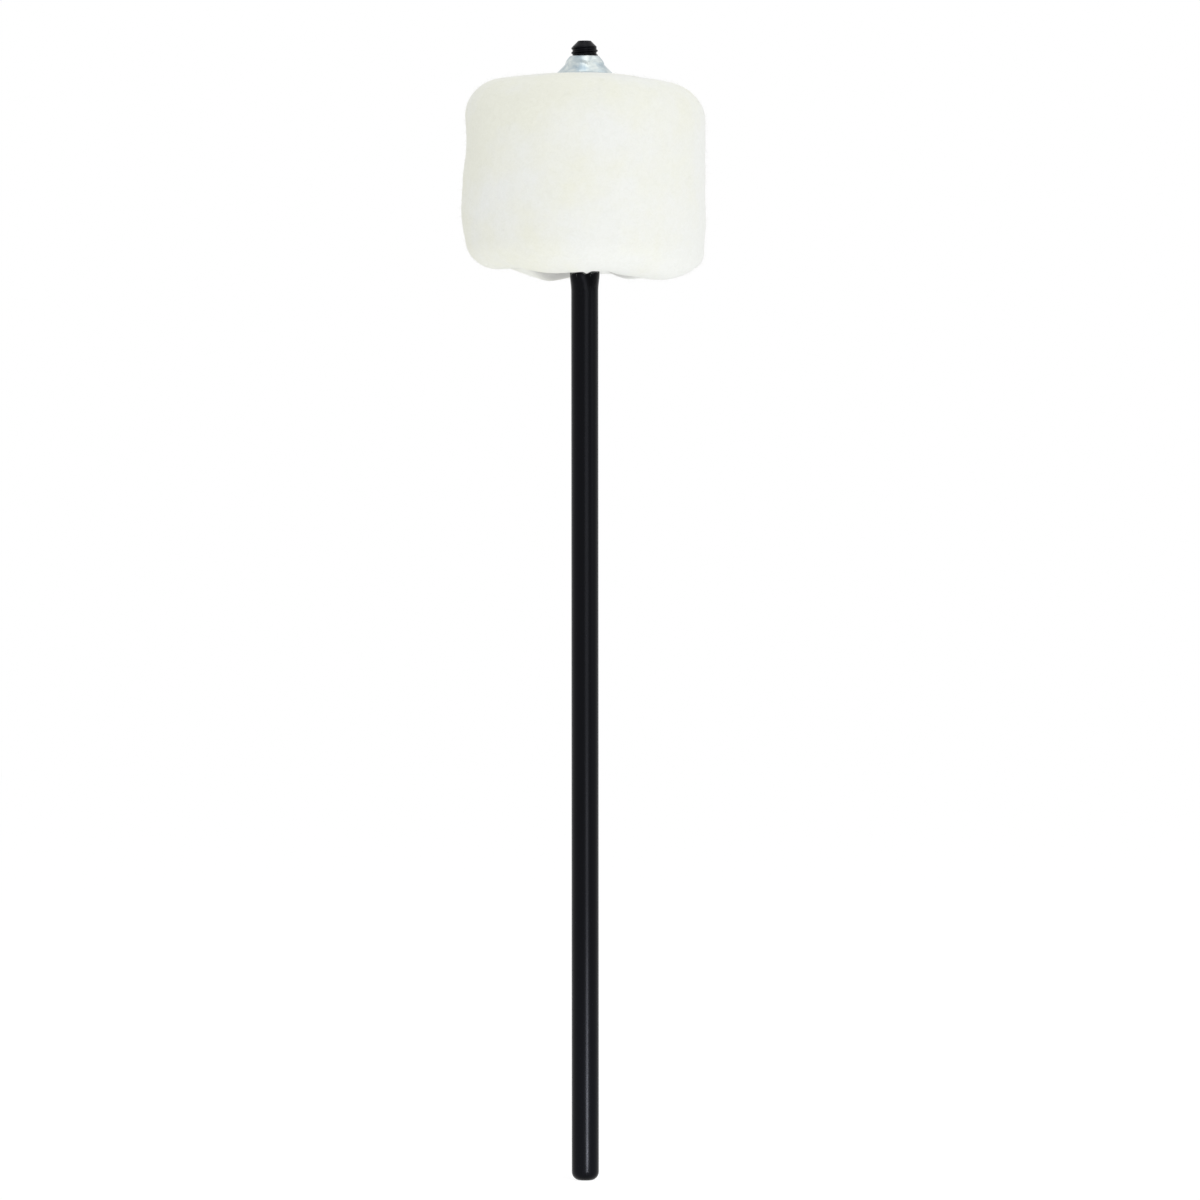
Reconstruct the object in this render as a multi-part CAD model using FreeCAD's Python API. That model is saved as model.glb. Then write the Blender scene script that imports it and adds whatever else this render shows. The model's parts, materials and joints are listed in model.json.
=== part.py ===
import FreeCAD
import Part
import math
import os

# Bass drum beater: a round steel rod, which a pedal's hub clamps, with a pressed felt head on top.
# Millimetres. The origin is the middle of the rod's lower end, and +Z runs up the rod to the head.
# The head is a barrel on the rod's own axis, so it strikes with its side. The photographed side is -Y.
#
# From the bottom up, the head is carried like this. Two ears are pinched out of the rod, and their
# flat tops carry the lower washer. The felt stands on that washer. The upper washer lies on the felt,
# sunk into its top, and a lock nut with a flange is tightened down the rod's thread onto the washer.
# The felt and its washers can be turned on the rod by hand, to bring fresh felt to the drum.

# Rod, with a rounded lower end
ROD_D = 6.0
ROD_LENGTH = 252.0
ROD_END_ROUND = 1.9

# Thread at the rod's top, drawn plain at its mean diameter, with a chamfered point
THREAD_MEAN_D = 5.35
THREAD_LENGTH = 13.0
THREAD_RUNOUT = 0.5
TIP_CHAMFER = 1.25

# How far the rod's tip stands out of the nut
TIP_PROUD = 3.35

# Ears pinched out of the rod: they swell upwards to a flat top, with the rod squeezed thinner between them.
# The top is a step all round, narrowest on the thin sides, and above it the rod runs out to round again.
EAR_SPAN = 7.4
EAR_THICKNESS = 5.6
EAR_SWELL_LENGTH = 3.4
EAR_LAND = 2.6
EAR_STEP = 0.15
PINCH_RUNOUT = 2.4
EAR_TURN_DEG = 45.0
EAR_SECTIONS = 5

# Washers, two alike
WASHER_D = 18.0
WASHER_THICKNESS = 1.6
WASHER_BORE_CLEARANCE = 0.2
WASHER_CHAMFER = 0.3

# Felt head: a barrel with round rims, dished at both ends where the washers press it
HEAD_D = 53.8
HEAD_GRIP_HEIGHT = 37.6
BELLY_SWELL = 0.4
BELLY_BAND_SHARE = 0.4
LOWER_RIM_ROUND = 6.8
LOWER_DISH_DEPTH = 4.1
LOWER_DISH_D = 29.0
LOWER_LIP_ROUND = 6.0
UPPER_RIM_ROUND = 8.4
UPPER_RIM_DROP = 2.2
UPPER_DISH_DEPTH = 2.5
UPPER_DISH_D = 22.6
UPPER_LIP_ROUND = 1.6
DISH_CLEARANCE = 0.3
HEAD_BORE_CLEARANCE = 0.08

# Lock nut: a hexagon on a sloping flange, drawn in to a conical crown that grips the thread
NUT_HEIGHT = 5.05
NUT_FLATS = 8.0
NUT_FLANGE_D = 12.4
NUT_FLANGE_EDGE = 1.2
NUT_FLANGE_SLOPE_DEG = 46.0
NUT_CROWN_HEIGHT = 1.75
NUT_CROWN_D = 6.4
NUT_GRIP_CLEARANCE = 0.05
NUT_TURN_DEG = 40.0
NUT_SIDES = 6

# Roundings are turned in narrow flats, each about this much of a turn
ROUND_STEP_DEG = 16.0

# Radii that several pieces share
ROD_R = ROD_D / 2
THREAD_R = THREAD_MEAN_D / 2
WASHER_R = WASHER_D / 2
WASHER_BORE_R = ROD_R + WASHER_BORE_CLEARANCE

# Heights of the stack, from the rod's tip down: nut, upper washer, felt, lower washer, ears
NUT_TOP_Z = ROD_LENGTH - TIP_PROUD
NUT_SEAT_Z = NUT_TOP_Z - NUT_HEIGHT
UPPER_SEAT_Z = NUT_SEAT_Z - WASHER_THICKNESS
LOWER_SEAT_Z = UPPER_SEAT_Z - HEAD_GRIP_HEIGHT
EAR_TOP_Z = LOWER_SEAT_Z - WASHER_THICKNESS
THREAD_START_Z = ROD_LENGTH - THREAD_LENGTH

UP = FreeCAD.Vector(0, 0, 1)
CENTRE = FreeCAD.Vector(0, 0, 0)
FULL_TURN_DEG = 360


def at(radius, height):
    """A point of an outline, in the XZ half plane."""
    return FreeCAD.Vector(radius, 0, height)


def on_axis(height):
    """A point on the rod's axis."""
    return FreeCAD.Vector(0, 0, height)


def rounded_corner(before, corner, after, rounding):
    """The ends of the flats that round a corner between its two neighbours."""
    back = (before - corner).normalize()
    ahead = (after - corner).normalize()
    half_angle = back.getAngle(ahead) / 2
    half_turn = math.pi / 2 - half_angle
    inward = (back + ahead).normalize()
    along = (ahead - back).normalize()
    middle = corner + inward * (rounding / math.sin(half_angle))
    flats = math.ceil(math.degrees(2 * half_turn) / ROUND_STEP_DEG)
    points = []
    for i in range(flats + 1):
        angle = half_turn * (2 * i / flats - 1)
        points.append(middle + (along * math.sin(angle) - inward * math.cos(angle)) * rounding)
    return points


def turned(corners):
    """A solid of revolution about the rod's axis, from (radius, height, rounding) corners."""
    sharp = [at(radius, height) for radius, height, _ in corners]
    points = []
    for i, (_, _, rounding) in enumerate(corners):
        if rounding:
            points += rounded_corner(sharp[i - 1], sharp[i], sharp[(i + 1) % len(sharp)], rounding)
        else:
            points.append(sharp[i])
    outline = Part.Face(Part.makePolygon(points + points[:1]))
    return outline.revolve(CENTRE, UP, FULL_TURN_DEG)


def pinched_section(height, half_span, half_thickness):
    """An oval section of the rod, widest along X."""
    return Part.Wire(Part.Ellipse(on_axis(height), half_span, half_thickness).toShape())


def smooth(share):
    """Eases a share from 0 to 1, level at both ends."""
    return share * share * (3 - 2 * share)


def ears():
    """The pinched stretch of the rod: the swelling, the land below the flat top, and the runout above."""
    half_span = EAR_SPAN / 2
    half_thickness = EAR_THICKNESS / 2
    swell_top_z = EAR_TOP_Z - EAR_LAND
    sections = []
    for i in range(EAR_SECTIONS):
        share = i / (EAR_SECTIONS - 1)
        height = swell_top_z - EAR_SWELL_LENGTH * (1 - share)
        wide = ROD_R + (half_span - ROD_R) * smooth(share)
        thin = ROD_R + (half_thickness - ROD_R) * smooth(share)
        sections.append(pinched_section(height, wide, thin))
    swelling = Part.makeLoft(sections, True)
    land = Part.Face(sections[-1]).extrude(UP * EAR_LAND)
    runout = Part.makeLoft(
        [
            pinched_section(EAR_TOP_Z, ROD_R, half_thickness - EAR_STEP),
            pinched_section(EAR_TOP_Z + PINCH_RUNOUT, ROD_R, ROD_R),
        ],
        True,
    )
    return swelling.fuse([land, runout])


def beater_rod():
    """The round bar below the ears, the ears, and the bar above them with its thread."""
    ears_start_z = EAR_TOP_Z - EAR_LAND - EAR_SWELL_LENGTH
    runout_end_z = EAR_TOP_Z + PINCH_RUNOUT
    lower_bar = turned(
        [
            (0, 0, 0),
            (ROD_R, 0, ROD_END_ROUND),
            (ROD_R, ears_start_z, 0),
            (0, ears_start_z, 0),
        ]
    )
    upper_bar = turned(
        [
            (0, runout_end_z, 0),
            (ROD_R, runout_end_z, 0),
            (ROD_R, THREAD_START_Z - THREAD_RUNOUT, 0),
            (THREAD_R, THREAD_START_Z, 0),
            (THREAD_R, ROD_LENGTH - TIP_CHAMFER, 0),
            (THREAD_R - TIP_CHAMFER, ROD_LENGTH, 0),
            (0, ROD_LENGTH, 0),
        ]
    )
    rod = lower_bar.fuse([ears(), upper_bar]).removeSplitter()
    rod.rotate(CENTRE, UP, EAR_TURN_DEG)
    return rod


def washer(bottom_z):
    """A flat washer whose underside is at bottom_z."""
    top_z = bottom_z + WASHER_THICKNESS
    return turned(
        [
            (WASHER_BORE_R, bottom_z, 0),
            (WASHER_R - WASHER_CHAMFER, bottom_z, 0),
            (WASHER_R, bottom_z + WASHER_CHAMFER, 0),
            (WASHER_R, top_z - WASHER_CHAMFER, 0),
            (WASHER_R - WASHER_CHAMFER, top_z, 0),
            (WASHER_BORE_R, top_z, 0),
        ]
    )


def felt_head():
    """The felt barrel, bored for the rod, with a dish at each end that holds a washer."""
    bore_r = ROD_R + HEAD_BORE_CLEARANCE
    seat_r = WASHER_R + DISH_CLEARANCE
    head_r = HEAD_D / 2
    rim_r = head_r - BELLY_SWELL
    lower_lip_z = LOWER_SEAT_Z - LOWER_DISH_DEPTH
    upper_lip_z = UPPER_SEAT_Z + UPPER_DISH_DEPTH
    upper_rim_z = upper_lip_z - UPPER_RIM_DROP
    belly_z = (lower_lip_z + upper_rim_z) / 2
    half_band = (upper_rim_z - lower_lip_z) * BELLY_BAND_SHARE / 2
    return turned(
        [
            (bore_r, LOWER_SEAT_Z, 0),
            (seat_r, LOWER_SEAT_Z, 0),
            (LOWER_DISH_D / 2, lower_lip_z, LOWER_LIP_ROUND),
            (rim_r, lower_lip_z, LOWER_RIM_ROUND),
            (head_r, belly_z - half_band, 0),
            (head_r, belly_z + half_band, 0),
            (rim_r, upper_rim_z, UPPER_RIM_ROUND),
            (UPPER_DISH_D / 2, upper_lip_z, UPPER_LIP_ROUND),
            (seat_r, UPPER_SEAT_Z, 0),
            (bore_r, UPPER_SEAT_Z, 0),
        ]
    )


def nut_hexagon(corner_r):
    """The nut's six sides, drawn in to the crown's cone at the top."""
    corners = []
    for i in range(NUT_SIDES + 1):
        angle = math.radians(FULL_TURN_DEG * i / NUT_SIDES)
        corners.append(FreeCAD.Vector(corner_r * math.cos(angle), corner_r * math.sin(angle), NUT_SEAT_Z))
    prism = Part.Face(Part.makePolygon(corners)).extrude(UP * NUT_HEIGHT)
    crown = turned(
        [
            (0, NUT_SEAT_Z, 0),
            (corner_r, NUT_SEAT_Z, 0),
            (corner_r, NUT_TOP_Z - NUT_CROWN_HEIGHT, 0),
            (NUT_CROWN_D / 2, NUT_TOP_Z, 0),
            (0, NUT_TOP_Z, 0),
        ]
    )
    return prism.common(crown)


def flange_nut():
    """The hexagon, the flange that slopes away from its flats, and the hole for the thread."""
    flat_r = NUT_FLATS / 2
    flange_r = NUT_FLANGE_D / 2
    edge_z = NUT_SEAT_Z + NUT_FLANGE_EDGE
    slope_top_z = edge_z + (flange_r - flat_r) * math.tan(math.radians(NUT_FLANGE_SLOPE_DEG))
    flange = turned(
        [
            (0, NUT_SEAT_Z, 0),
            (flange_r, NUT_SEAT_Z, 0),
            (flange_r, edge_z, 0),
            (flat_r, slope_top_z, 0),
            (0, slope_top_z, 0),
        ]
    )
    hexagon = nut_hexagon(flat_r / math.cos(math.pi / NUT_SIDES))
    bore = Part.makeCylinder(THREAD_R + NUT_GRIP_CLEARANCE, NUT_HEIGHT, on_axis(NUT_SEAT_Z))
    nut = hexagon.fuse(flange).cut(bore).removeSplitter()
    nut.rotate(CENTRE, UP, NUT_TURN_DEG)
    return nut


def main():
    os.makedirs("parts", exist_ok=True)
    pieces = {
        "beater_rod": beater_rod(),
        "lower_washer": washer(EAR_TOP_Z),
        "felt_head": felt_head(),
        "upper_washer": washer(UPPER_SEAT_Z),
        "flange_nut": flange_nut(),
    }
    for name, shape in pieces.items():
        shape.exportStep(f"parts/{name}.step")
        print(name, "solids", len(shape.Solids), "valid", shape.isValid(), "volume", round(shape.Volume, 1))


if __name__ == "__main__":
    main()
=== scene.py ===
import json
import math
import random

import bpy
import numpy as np
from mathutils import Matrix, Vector, noise


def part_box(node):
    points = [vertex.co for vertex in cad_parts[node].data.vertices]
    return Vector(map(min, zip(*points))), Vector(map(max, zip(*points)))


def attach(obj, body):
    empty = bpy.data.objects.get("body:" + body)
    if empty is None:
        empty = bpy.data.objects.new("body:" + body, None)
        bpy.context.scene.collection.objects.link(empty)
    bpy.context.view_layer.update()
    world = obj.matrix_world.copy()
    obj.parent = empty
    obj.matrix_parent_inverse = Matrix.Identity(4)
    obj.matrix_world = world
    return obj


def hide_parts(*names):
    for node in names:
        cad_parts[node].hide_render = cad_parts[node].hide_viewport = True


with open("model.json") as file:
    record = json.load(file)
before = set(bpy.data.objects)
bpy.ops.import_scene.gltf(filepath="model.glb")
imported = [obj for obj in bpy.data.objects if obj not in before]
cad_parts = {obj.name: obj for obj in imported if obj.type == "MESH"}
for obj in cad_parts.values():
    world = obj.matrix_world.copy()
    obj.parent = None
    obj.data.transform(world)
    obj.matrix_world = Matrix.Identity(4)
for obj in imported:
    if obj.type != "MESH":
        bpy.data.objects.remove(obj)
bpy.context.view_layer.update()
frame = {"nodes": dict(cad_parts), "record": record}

# Metres. The rod's axis is Z, the photographed side is -Y, and +X is to the right in the photo.
FULL_TURN = 2 * math.pi

# Places taken from the frame
FELT_LOW, FELT_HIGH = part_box("felt_head")
HEAD_R = FELT_HIGH.x
LOWER_SEAT_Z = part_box("lower_washer")[1].z
UPPER_SEAT_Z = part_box("upper_washer")[0].z
WASHER_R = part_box("upper_washer")[1].x
NUT_TOP_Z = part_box("flange_nut")[1].z
TIP_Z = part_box("beater_rod")[1].z
ROD_R = frame["record"]["mounts"][0]["dims"]["r_mm"] / 1000

# Camera: level with the middle of the photo, which it frames from in front
CAMERA_DISTANCE = 1.75
CAMERA_SIDE = 0.00333
CAMERA_HEIGHT = 0.12833
CAMERA_ROLL_DEG = 0.04
FRAME_WIDTH = 0.26543
SENSOR = 36.0

# Felt: its profile, its bore and how fine its mesh is
FELT_BORE_CLEARANCE = 0.00008
FELT_SEAT_CLEARANCE = 0.0003
FELT_BORE_R = ROD_R + FELT_BORE_CLEARANCE
FELT_SEAT_R = WASHER_R + FELT_SEAT_CLEARANCE
FELT_BELLY = 0.0004
LOWER_LIP_R = 0.0145
LOWER_LIP_ROUND = 0.006
LOWER_RIM_ROUND = 0.0068
UPPER_LIP_R = 0.0113
UPPER_LIP_ROUND = 0.0012
UPPER_RIM_ROUND = 0.0084
UPPER_RIM_DROP = 0.0022
SEAT_ROUND = 0.0005
FELT_CELL = 0.00047
ARC_STEP_DEG = 4.0

# Unevenness of the pressed felt: (size of the lumps, how far they stand out)
FELT_LUMPS = [(0.017, 0.00030), (0.006, 0.00012), (0.0014, 0.00005)]

# Places where the felt's side is out of true:
# azimuth in degrees from +X, height, spread in degrees, spread in height, outwards, upwards
FELT_SAGS = [
    (180, 0.2300, 38, 0.0065, -0.0006, 0.0),
    (180, 0.2150, 38, 0.0080, 0.0003, 0.0),
    (180, 0.2035, 55, 0.0055, -0.0008, 0.0006),
    (180, 0.2035, 55, 0.0025, 0.0003, 0.0),
    (0, 0.2410, 55, 0.0060, 0.0001, -0.0010),
    (0, 0.2025, 45, 0.0040, 0.0007, 0.0),
    (0, 0.2062, 45, 0.0028, -0.0005, 0.0),
]

# Places where its underside hangs or is drawn up: x, y, spread, upwards
FELT_HANGS = [
    (-0.0160, 0.0060, 0.0080, 0.0022),
    (-0.0155, 0.0125, 0.0035, 0.0010),
    (-0.0082, 0.0132, 0.0046, -0.0014),
    (0.0034, 0.0165, 0.0044, 0.0020),
    (0.0090, 0.0145, 0.0042, -0.0007),
    (-0.0165, -0.0110, 0.0065, 0.0010),
    (-0.0080, -0.0155, 0.0050, -0.0004),
    (0.0040, -0.0160, 0.0025, 0.0004),
    (0.0085, -0.0155, 0.0030, -0.0004),
    (0.0160, -0.0105, 0.0075, -0.0015),
    (0.0005, -0.0155, 0.0007, -0.0005),
]
FELT_HANG_RISE = 0.006

# Patterns in the materials: scale and detail, then roughness and distortion unless they are the usual ones
FELT_MOTTLE = (62, 4, 0.6)
FELT_TANGLE = (900, 5, 0.65, 1.6)
FELT_MATTING = (420, 4, 0.6, 0.8)
COAT_PEEL = (500, 2)
COAT_WEAR = (90, 5, 0.6)
ZINC_CLOUDS = (380, 3, 0.55, 0.6)
ZINC_GRAIN = (2600, 3)

# Relief of those patterns: strength and depth
FELT_TANGLE_RELIEF = (0.25, 0.00012)
FELT_MATTING_RELIEF = (0.25, 0.0003)
COAT_PEEL_RELIEF = (0.02, 0.0001)
ZINC_GRAIN_RELIEF = (0.08, 0.00005)

# The felt's colour is a little darker and yellower towards -X and towards the top
FELT_CREAMS = [(0.35, (0.868, 0.874, 0.780)), (0.62, (0.876, 0.889, 0.858))]
FELT_FIBRE_SHADES = [(0.3, (0.96, 0.96, 0.95)), (0.6, (1, 1, 1))]
FELT_DRIFT_X = (-0.09, 0.12)
FELT_DRIFT_Z = (0.05, -0.08)

# Painted shade in the hollow below: grey, with the radii and the heights over which it sets in
FELT_HOLLOW_PAINTED_SHADE = (0.6, 0.6, 0.575, 1)
FELT_HOLLOW_SHADE_R = (0.0170, 0.0140)
FELT_HOLLOW_SHADE_Z = (0.2045, 0.2025)

# Black coating and zinc plating, with the place of the plating's cloudy patches, set so that they lie pale
# on the nut's +X side and dark on its -X side: partly the plating's own patches, partly a painted reflection
# of the light from +X
COAT_BLACK = (0.0008, 0.0009, 0.0014, 1)
COAT_ROUGHNESS = (0.23, 0.29)
ZINC_PATCH_AND_REFLECTION_SHADES = [(0.32, (0.35, 0.43, 0.48)), (0.62, (0.64, 0.69, 0.68))]
ZINC_ROUGHNESS = (0.3, 0.46)
ZINC_PATCHES_AND_REFLECTION_AT = (0.0211, 0.0072, 0.0234)

# Loose fibres on the felt
FIBRE_COUNT = 6000
FIBRE_LENGTHS = (0.0003, 0.0010)
FIBRE_LEANS = (0.6, 2.2)
FIBRE_BEND = 0.5
FIBRE_TAPER = 0.7
FIBRE_R = 0.000012
FIBRE_RINGS = 4
FIBRE_SIDES = 3
FIBRE_KEEP_OUT_R = 0.0125
FIBRE_SEED = 11

# Thread on the tip: a ridge that winds up out of the nut to the chamfer
THREAD_MEAN_R = 0.002675
THREAD_CREST_R = 0.00295
THREAD_FOOT_R = 0.0026
THREAD_PITCH = 0.001
THREAD_CREST_HALF = 0.0001
THREAD_FOOT_HALF = 0.0004
THREAD_CREST_Z = 0.24983
THREAD_STEPS_PER_TURN = 48
TIP_CHAMFER = 0.00125
THREAD_BURIED = 0.00005

# Broken edges of the nut
NUT_BEVEL = 0.0002
BEVEL_SEGMENTS = 2
BEVEL_ANGLE_DEG = 20
WELD_DISTANCE = 1e-6

# Light
WHITE = (1, 1, 1, 1)
AMBIENT = 0.84
FLOOR_HALF = 4.0
FLOOR_PAINT = 0.85
FLOOR_GLOW = 0.10
FLOOR_SHADOW_SHARE = 0.25

# Lamps: name, azimuth in degrees to the right of the front, distance, height, size, power, height aimed at
LAMPS = [
    ("front_panel", 15, 1.5, 0.155, (0.75, 0.22), 1.97, 0.18),
    ("softbox", 65, 1.6, 0.45, (0.65, 0.65), 1.1, 0.2),
    ("right_panel", 105, 0.85, 1.25, (0.6, 0.6), 0.8, 0.246),
    ("top_panel", 8, 0.12, 1.35, (0.45, 0.45), 0.9, 0.24),
    ("mid_strip", 16, 0.15, 0.045, (0.035, 0.09), 0.045, 0.045),
]

# Small strip lamps stacked beside the foot of the rod, with the glow of each from the bottom up
STRIP_AZIMUTH_DEG = 16
STRIP_DISTANCE = 0.035
STRIP_WIDTH = 0.006
STRIP_HEIGHT = 0.00575
STRIP_GLOWS = [54, 28, 35, 28, 18, 18, 12, 10.5, 4.5, 3]

# Places of the colour sockets on a Mix node
MIX_COLOUR_INPUTS = (6, 7)
MIX_COLOUR_OUTPUT = 2


def new_object(name, data):
    """An object of this name in the scene."""
    made = bpy.data.objects.new(name, data)
    bpy.context.scene.collection.objects.link(made)
    return made


def mesh_piece(name, points, faces, body, material):
    """A smooth mesh that rides on a body."""
    mesh = bpy.data.meshes.new(name)
    mesh.from_pydata(points, [], faces)
    mesh.update()
    mesh.shade_smooth()
    mesh.materials.append(material)
    piece = new_object(name, mesh)
    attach(piece, body)
    return piece


class Nodes:
    """A material's or a world's node tree, with short ways to add nodes and links."""

    def __init__(self, owner):
        owner.use_nodes = True
        self.tree = owner.node_tree
        self.tree.nodes.clear()

    def put(self, socket, value):
        """Gives a socket a value or the output of another node."""
        if isinstance(value, bpy.types.NodeSocket):
            self.tree.links.new(value, socket)
        else:
            socket.default_value = value

    def add(self, kind, inputs=None, **settings):
        """A node of this kind. Inputs may be values or the outputs of other nodes."""
        node = self.tree.nodes.new(kind)
        for name, value in settings.items():
            setattr(node, name, value)
        for name, value in (inputs or {}).items():
            self.put(node.inputs[name], value)
        return node

    def noise(self, coordinates, scale, detail, roughness=0.5, distortion=0.0):
        """A noise pattern's value."""
        settings = {
            "Vector": coordinates,
            "Scale": scale,
            "Detail": detail,
            "Roughness": roughness,
            "Distortion": distortion,
        }
        return self.add("ShaderNodeTexNoise", settings).outputs["Fac"]

    def ramp(self, value, stops):
        """A colour for a value, through two (place, colour) stops."""
        node = self.add("ShaderNodeValToRGB", {"Fac": value})
        for element, (place, colour) in zip(node.color_ramp.elements, stops):
            element.position = place
            element.color = (*colour, 1)
        return node.outputs["Color"]

    def mix(self, share, first, second, blend="MIX"):
        """A share of the second colour blended with the first."""
        node = self.add("ShaderNodeMix", {"Factor": share}, data_type="RGBA", blend_type=blend)
        for place, colour in zip(MIX_COLOUR_INPUTS, (first, second)):
            self.put(node.inputs[place], colour)
        return node.outputs[MIX_COLOUR_OUTPUT]

    def combine(self, operation, first, second):
        """One value from two, by a Math node's operation."""
        return self.add("ShaderNodeMath", {0: first, 1: second}, operation=operation).outputs[0]

    def fade(self, value, start, end):
        """0 where a value is at the start, rising to 1 at the end."""
        inputs = {"Value": value, "From Min": start, "From Max": end}
        return self.add("ShaderNodeMapRange", inputs).outputs["Result"]

    def spread(self, value, low, high):
        """A value from 0 to 1 spread from low to high."""
        inputs = {"Value": value, "To Min": low, "To Max": high}
        return self.add("ShaderNodeMapRange", inputs).outputs["Result"]

    def bump(self, height, strength, distance, normal=None):
        """A bumped normal, over another one if given."""
        inputs = {"Height": height, "Strength": strength, "Distance": distance}
        if normal is not None:
            inputs["Normal"] = normal
        return self.add("ShaderNodeBump", inputs).outputs["Normal"]


def surface(name, build):
    """A material with a Principled surface, whose inputs build gives."""
    material = bpy.data.materials.new(name)
    nodes = Nodes(material)
    coordinates = nodes.add("ShaderNodeTexCoord").outputs["Object"]
    shader = nodes.add("ShaderNodeBsdfPrincipled", build(nodes, coordinates))
    nodes.add("ShaderNodeOutputMaterial", {"Surface": shader.outputs["BSDF"]})
    return material


def felt_tone_drift(nodes, coordinates, place):
    """The felt's tone: mottled, and drifting along X and Z, darker and yellower towards -X and the top."""
    mottle = nodes.noise(coordinates, *FELT_MOTTLE)
    drift_x = nodes.spread(nodes.fade(place["X"], -HEAD_R, HEAD_R), *FELT_DRIFT_X)
    drift_z = nodes.spread(nodes.fade(place["Z"], FELT_LOW.z, FELT_HIGH.z), *FELT_DRIFT_Z)
    return nodes.combine("ADD", mottle, nodes.combine("ADD", drift_x, drift_z))


def felt_hollow_painted_shade(nodes, coordinates, place):
    """1 where shade is painted in the hollow under the felt, and 0 elsewhere."""
    flat = nodes.add("ShaderNodeVectorMath", {0: coordinates, 1: (1, 1, 0)}, operation="MULTIPLY")
    radius = nodes.add("ShaderNodeVectorMath", {0: flat.outputs["Vector"]}, operation="LENGTH")
    inside = nodes.fade(radius.outputs["Value"], *FELT_HOLLOW_SHADE_R)
    below = nodes.fade(place["Z"], *FELT_HOLLOW_SHADE_Z)
    return nodes.combine("MULTIPLY", inside, below)


def felt_inputs(nodes, coordinates):
    """Cream wool felt: warm mottling, tangled fibres, a soft sheen, and painted shade, grey, in the hollow
    below.
    """
    place = nodes.add("ShaderNodeSeparateXYZ", {"Vector": coordinates}).outputs
    tangle = nodes.noise(coordinates, *FELT_TANGLE)
    cream = nodes.ramp(felt_tone_drift(nodes, coordinates, place), FELT_CREAMS)
    fibres = nodes.ramp(tangle, FELT_FIBRE_SHADES)
    wool = nodes.mix(1.0, cream, fibres, "MULTIPLY")
    matted = nodes.bump(nodes.noise(coordinates, *FELT_MATTING), *FELT_MATTING_RELIEF)
    return {
        # In the hollow below the colour is mixed towards grey: painted shade
        "Base Color": nodes.mix(felt_hollow_painted_shade(nodes, coordinates, place), wool, FELT_HOLLOW_PAINTED_SHADE),
        "Roughness": 0.95,
        "Specular IOR Level": 0.15,
        "Sheen Weight": 0.15,
        "Sheen Roughness": 0.6,
        "Normal": nodes.bump(tangle, *FELT_TANGLE_RELIEF, matted),
    }


def black_coat_inputs(nodes, coordinates):
    """Black coating on steel, with a faint orange peel."""
    peel = nodes.noise(coordinates, *COAT_PEEL)
    wear = nodes.noise(coordinates, *COAT_WEAR)
    return {
        "Base Color": COAT_BLACK,
        "Roughness": nodes.spread(wear, *COAT_ROUGHNESS),
        "Specular IOR Level": 0.1,
        "Specular Tint": (0.84, 0.87, 1, 1),
        "Normal": nodes.bump(peel, *COAT_PEEL_RELIEF),
    }


def zinc_inputs(nodes, coordinates):
    """Bright zinc plating, faintly blue, with cloudy patches that also paint a reflection: pale on the nut's
    +X side, dark on its -X side.
    """
    moved = nodes.add("ShaderNodeVectorMath", {0: coordinates, 1: ZINC_PATCHES_AND_REFLECTION_AT}).outputs["Vector"]
    patches_and_reflection = nodes.noise(moved, *ZINC_CLOUDS)
    grain = nodes.noise(moved, *ZINC_GRAIN)
    return {
        "Base Color": nodes.ramp(patches_and_reflection, ZINC_PATCH_AND_REFLECTION_SHADES),
        "Metallic": 1.0,
        "Roughness": nodes.spread(patches_and_reflection, *ZINC_ROUGHNESS),
        "Normal": nodes.bump(grain, *ZINC_GRAIN_RELIEF),
    }


def polar(radius, azimuth, height):
    """A point from its radius, azimuth in radians and height."""
    return (radius * math.cos(azimuth), radius * math.sin(azimuth), height)


def rounded_outline(corners):
    """Points along a closed outline through (radius, height, rounding) corners, with arcs at the corners."""
    sharp = [np.array(corner[:2]) for corner in corners]
    points = []
    for i, (_, _, rounding) in enumerate(corners):
        if not rounding:
            points.append(sharp[i])
            continue
        back = sharp[i - 1] - sharp[i]
        ahead = sharp[(i + 1) % len(sharp)] - sharp[i]
        back /= np.linalg.norm(back)
        ahead /= np.linalg.norm(ahead)
        half_angle = math.acos(back @ ahead) / 2
        half_turn = math.pi / 2 - half_angle
        inward = (back + ahead) / np.linalg.norm(back + ahead)
        along = (ahead - back) / np.linalg.norm(ahead - back)
        middle = sharp[i] + inward * rounding / math.sin(half_angle)
        count = 2 + int(math.degrees(2 * half_turn) / ARC_STEP_DEG)
        for angle in np.linspace(-half_turn, half_turn, count):
            points.append(middle + (along * math.sin(angle) - inward * math.cos(angle)) * rounding)
    return points


def evenly_spaced(points, spacing):
    """Points every so far along a closed outline."""
    loop = np.array(points + points[:1])
    lengths = np.concatenate([[0], np.cumsum(np.linalg.norm(np.diff(loop, axis=0), axis=1))])
    places = np.linspace(0, lengths[-1], int(lengths[-1] / spacing), endpoint=False)
    return np.column_stack([np.interp(places, lengths, loop[:, k]) for k in range(2)])


def felt_profile():
    """The felt's outline in radius and height, from the lower end of the bore round to the upper one."""
    rim_r = HEAD_R - FELT_BELLY
    upper_rim_z = FELT_HIGH.z - UPPER_RIM_DROP
    corners = [
        (FELT_BORE_R, LOWER_SEAT_Z, 0),
        (FELT_SEAT_R, LOWER_SEAT_Z, SEAT_ROUND),
        (LOWER_LIP_R, FELT_LOW.z, LOWER_LIP_ROUND),
        (rim_r, FELT_LOW.z, LOWER_RIM_ROUND),
        (rim_r, upper_rim_z, UPPER_RIM_ROUND),
        (UPPER_LIP_R, FELT_HIGH.z, UPPER_LIP_ROUND),
        (FELT_SEAT_R, UPPER_SEAT_Z, SEAT_ROUND),
        (FELT_BORE_R, UPPER_SEAT_Z, 0),
    ]
    return evenly_spaced(rounded_outline(corners), FELT_CELL)


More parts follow.
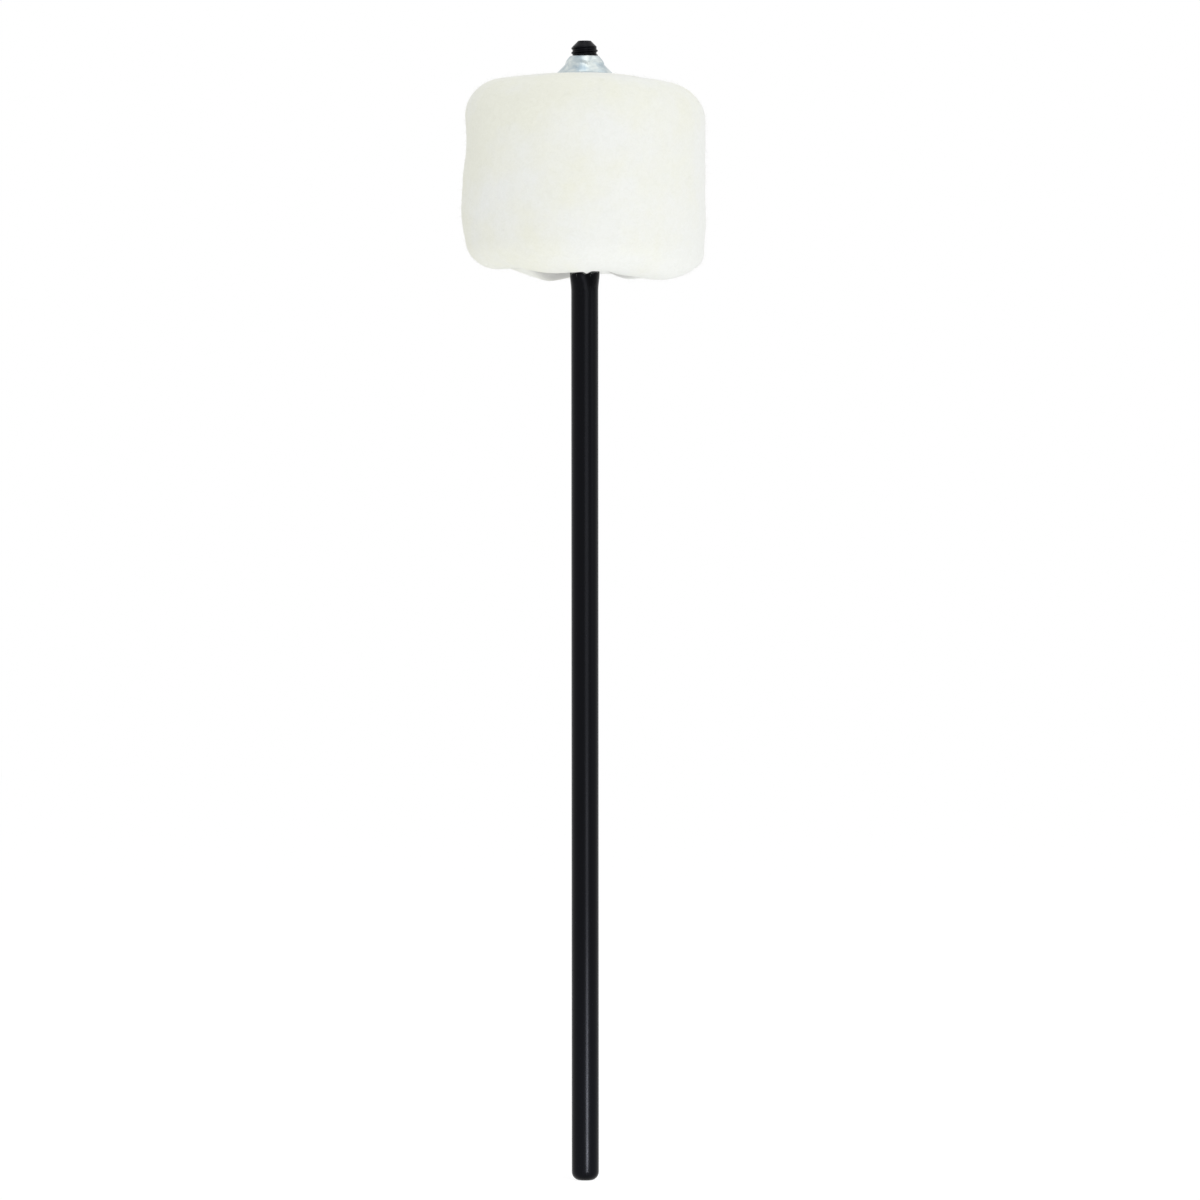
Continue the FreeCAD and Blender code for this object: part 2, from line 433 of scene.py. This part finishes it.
def felt_shift(radius, azimuth, height):
    """How far a point of the felt is pressed outwards and upwards, and how free it is to move."""
    loose = np.clip((radius - FELT_SEAT_R) / (LOWER_LIP_R - FELT_SEAT_R), 0, 1)
    middle_z = (FELT_LOW.z + FELT_HIGH.z) / 2
    half_height = (FELT_HIGH.z - FELT_LOW.z) / 2
    outwards = FELT_BELLY * (1 - ((height - middle_z) / half_height) ** 2)
    upwards = 0.0
    for sag_azimuth, sag_z, spread, spread_z, sag_out, sag_up in FELT_SAGS:
        turn = (math.degrees(azimuth) - sag_azimuth + 180) % 360 - 180
        share = math.exp(-((turn / spread) ** 2) - ((height - sag_z) / spread_z) ** 2)
        outwards += sag_out * share
        upwards += sag_up * share
    x, y, _ = polar(radius, azimuth, height)
    low_share = math.exp(-(((height - FELT_LOW.z) / FELT_HANG_RISE) ** 2))
    for hang_x, hang_y, spread, hang_up in FELT_HANGS:
        upwards += hang_up * low_share * math.exp(-((x - hang_x) ** 2 + (y - hang_y) ** 2) / spread**2)
    return outwards * loose, upwards * loose, loose


def felt_points(profile, azimuths):
    """The felt's points, ring by ring of the profile, with its lumps and sags."""
    following = np.roll(profile, -1, axis=0) - np.roll(profile, 1, axis=0)
    points = []
    for (radius, height), (along_r, along_z) in zip(profile, following):
        length = math.hypot(along_r, along_z)
        normal_r, normal_z = along_z / length, -along_r / length
        for azimuth in azimuths:
            outwards, upwards, loose = felt_shift(radius, azimuth, height)
            place = Vector(polar(radius, azimuth, height))
            lump = sum(reach * noise.noise(place / size) for size, reach in FELT_LUMPS) * loose
            points.append(
                polar(radius + outwards + normal_r * lump, azimuth, height + upwards + normal_z * lump)
            )
    return points


def felt_body(material):
    """The felt head, pressed and slightly uneven."""
    profile = felt_profile()
    count = int(FULL_TURN * HEAD_R / FELT_CELL)
    azimuths = [FULL_TURN * j / count for j in range(count)]
    faces = []
    for i in range(len(profile)):
        k = (i + 1) % len(profile)
        for j in range(count):
            m = (j + 1) % count
            faces.append((i * count + j, i * count + m, k * count + m, k * count + j))
    points = felt_points(profile, azimuths)
    piece = mesh_piece("felt_body", points, faces, "head", material)
    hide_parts("felt_head")
    return piece


def any_way(rng):
    """A vector that points any way."""
    return Vector([rng.gauss(0, 1) for _ in range(3)])


def fibre(root, normal, rng):
    """Rings of points along one loose fibre that leaves the felt and bends over."""
    length = rng.uniform(*FIBRE_LENGTHS)
    aside = normal.cross(any_way(rng)).normalized()
    bend = any_way(rng) * FIBRE_BEND
    lean = rng.uniform(*FIBRE_LEANS)
    direction = (normal + aside * lean).normalized()
    across = direction.cross(bend).normalized()
    other = direction.cross(across)
    rings = []
    for i in range(FIBRE_RINGS):
        share = i / (FIBRE_RINGS - 1)
        centre = root + (direction + bend * share * share) * length * share - normal * FIBRE_R
        radius = FIBRE_R * (1 - FIBRE_TAPER * share)
        for k in range(FIBRE_SIDES):
            angle = FULL_TURN * k / FIBRE_SIDES
            rings.append(centre + (across * math.cos(angle) + other * math.sin(angle)) * radius)
    return rings


def felt_fuzz(felt, material):
    """Loose fibres that stand out of the felt."""
    rng = random.Random(FIBRE_SEED)
    polygons = [p for p in felt.data.polygons if math.hypot(p.center.x, p.center.y) > FIBRE_KEEP_OUT_R]
    areas = [p.area for p in polygons]
    points = []
    faces = []
    for polygon in rng.choices(polygons, weights=areas, k=FIBRE_COUNT):
        first = len(points)
        points += fibre(polygon.center, polygon.normal, rng)
        for i in range(FIBRE_RINGS - 1):
            for k in range(FIBRE_SIDES):
                a = first + i * FIBRE_SIDES + k
                b = first + i * FIBRE_SIDES + (k + 1) % FIBRE_SIDES
                faces.append((a, b, b + FIBRE_SIDES, a + FIBRE_SIDES))
        last = len(points) - FIBRE_SIDES
        faces.append(tuple(range(first + FIBRE_SIDES - 1, first - 1, -1)))
        faces.append(tuple(range(last, last + FIBRE_SIDES)))
    mesh_piece("felt_fuzz", points, faces, "head", material)


def tip_thread(material):
    """The thread's ridge above the nut, cut off by the chamfer of the tip."""
    chamfer_z = TIP_Z - TIP_CHAMFER
    section = [
        (0, -THREAD_FOOT_HALF),
        (1, -THREAD_CREST_HALF),
        (1, THREAD_CREST_HALF),
        (0, THREAD_FOOT_HALF),
    ]
    start_z = THREAD_CREST_Z - THREAD_PITCH * math.ceil((THREAD_CREST_Z - NUT_TOP_Z) / THREAD_PITCH)
    end_z = chamfer_z + THREAD_MEAN_R - THREAD_FOOT_R
    steps = int((end_z - start_z) / THREAD_PITCH * THREAD_STEPS_PER_TURN)
    points = []
    for i in range(steps + 1):
        turn = i / THREAD_STEPS_PER_TURN
        height = start_z + THREAD_PITCH * turn
        for rise, along in section:
            chamfer_r = THREAD_MEAN_R + chamfer_z - height - along - THREAD_BURIED
            foot_r = min(THREAD_FOOT_R, chamfer_r - THREAD_BURIED)
            crest_r = max(foot_r, min(THREAD_CREST_R, chamfer_r))
            points.append(polar(foot_r + (crest_r - foot_r) * rise, FULL_TURN * turn, height + along))
    sides = len(section)
    faces = [tuple(range(sides)), tuple(range(len(points) - 1, len(points) - 1 - sides, -1))]
    for i in range(steps):
        for k in range(sides):
            a = i * sides + k
            b = i * sides + (k + 1) % sides
            faces.append((b, a, a + sides, b + sides))
    mesh_piece("tip_thread", points, faces, "rod", material)


def dress_node(name, material, bevel=None):
    """Gives a CAD node its finish, with its edges broken if a bevel is given."""
    node = frame["nodes"][name]
    node.data.materials.clear()
    node.data.materials.append(material)
    if bevel:
        weld = node.modifiers.new("weld", "WELD")
        weld.merge_threshold = WELD_DISTANCE
        edges = node.modifiers.new("edges", "BEVEL")
        edges.width = bevel
        edges.segments = BEVEL_SEGMENTS
        edges.limit_method = "ANGLE"
        edges.angle_limit = math.radians(BEVEL_ANGLE_DEG)
        edges.harden_normals = True


def shown_rays(nodes):
    """1 for what the camera sees, straight, mirrored or through glass, and 0 for light on things."""
    path = nodes.add("ShaderNodeLightPath").outputs
    seen = nodes.combine("MAXIMUM", path["Is Camera Ray"], path["Is Glossy Ray"])
    return nodes.combine("MAXIMUM", seen, path["Is Transmission Ray"])


def white_world():
    """White where it is seen, and a plain soft light on the object."""
    world = bpy.data.worlds.new("studio")
    bpy.context.scene.world = world
    nodes = Nodes(world)
    light = nodes.add("ShaderNodeBackground", {"Color": WHITE, "Strength": AMBIENT}).outputs[0]
    white = nodes.add("ShaderNodeBackground", {"Color": WHITE, "Strength": 1.0}).outputs[0]
    mixed = nodes.add("ShaderNodeMixShader", {0: shown_rays(nodes), 1: light, 2: white})
    nodes.add("ShaderNodeOutputWorld", {"Surface": mixed.outputs[0]})


def painted_light(nodes, paint, glow):
    """A matt paint of this grey that also glows a little."""
    matt = nodes.add("ShaderNodeBsdfDiffuse", {"Color": (paint, paint, paint, 1)})
    light = nodes.add("ShaderNodeEmission", {"Color": WHITE, "Strength": glow})
    return nodes.add("ShaderNodeAddShader", {0: matt.outputs[0], 1: light.outputs[0]}).outputs[0]


def floor():
    """A pale floor that looks white where no shadow falls on it, and lights the object from below."""
    half = FLOOR_HALF
    corners = [(-half, -half, 0), (half, -half, 0), (half, half, 0), (-half, half, 0)]
    mesh = bpy.data.meshes.new("floor")
    mesh.from_pydata(corners, [], [(0, 1, 2, 3)])
    material = bpy.data.materials.new("floor_white")
    nodes = Nodes(material)
    table = painted_light(nodes, FLOOR_PAINT, FLOOR_GLOW)
    white = painted_light(nodes, FLOOR_SHADOW_SHARE, 1 - FLOOR_SHADOW_SHARE * AMBIENT)
    mixed = nodes.add("ShaderNodeMixShader", {0: shown_rays(nodes), 1: table, 2: white})
    nodes.add("ShaderNodeOutputMaterial", {"Surface": mixed.outputs[0]})
    mesh.materials.append(material)
    made = new_object("floor", mesh)


def lamp(name, azimuth_deg, distance, height, size, power, aim_height):
    """A rectangular lamp that faces the rod, at an azimuth to the right of the camera's side."""
    data = bpy.data.lights.new(name, "AREA")
    data.shape = "RECTANGLE"
    data.size, data.size_y = size
    data.energy = power
    made = new_object(name, data)
    azimuth = math.radians(azimuth_deg)
    made.location = (distance * math.sin(azimuth), -distance * math.cos(azimuth), height)
    toward = Vector((0, 0, aim_height)) - made.location
    made.rotation_euler = toward.to_track_quat("-Z", "Y").to_euler()
    made.visible_camera = False


def lamps():
    """The studio's lamps, and the stack of small strips at the rod's foot."""
    for row in LAMPS:
        lamp(*row)
    size = (STRIP_WIDTH, STRIP_HEIGHT)
    for i, glow in enumerate(STRIP_GLOWS):
        height = STRIP_HEIGHT * (i + 0.5)
        power = glow * math.pi * STRIP_WIDTH * STRIP_HEIGHT
        lamp(f"low_strip_{i}", STRIP_AZIMUTH_DEG, STRIP_DISTANCE, height, size, power, height)


def camera():
    """The photo's view."""
    data = bpy.data.cameras.new("camera")
    data.sensor_width = SENSOR
    data.lens = SENSOR * CAMERA_DISTANCE / FRAME_WIDTH
    made = new_object("camera", data)
    made.location = (CAMERA_SIDE, -CAMERA_DISTANCE, CAMERA_HEIGHT)
    made.rotation_euler = (math.pi / 2, math.radians(CAMERA_ROLL_DEG), 0)
    bpy.context.scene.camera = made


felt = surface("felt", felt_inputs)
black_coat = surface("black_coat", black_coat_inputs)
zinc = surface("zinc_plate", zinc_inputs)

head = felt_body(felt)
felt_fuzz(head, felt)
tip_thread(black_coat)
dress_node("beater_rod", black_coat)
dress_node("flange_nut", zinc, bevel=NUT_BEVEL)
dress_node("upper_washer", zinc)
dress_node("lower_washer", zinc)

camera()
white_world()
floor()
lamps()
bpy.context.scene.view_settings.view_transform = "Standard"
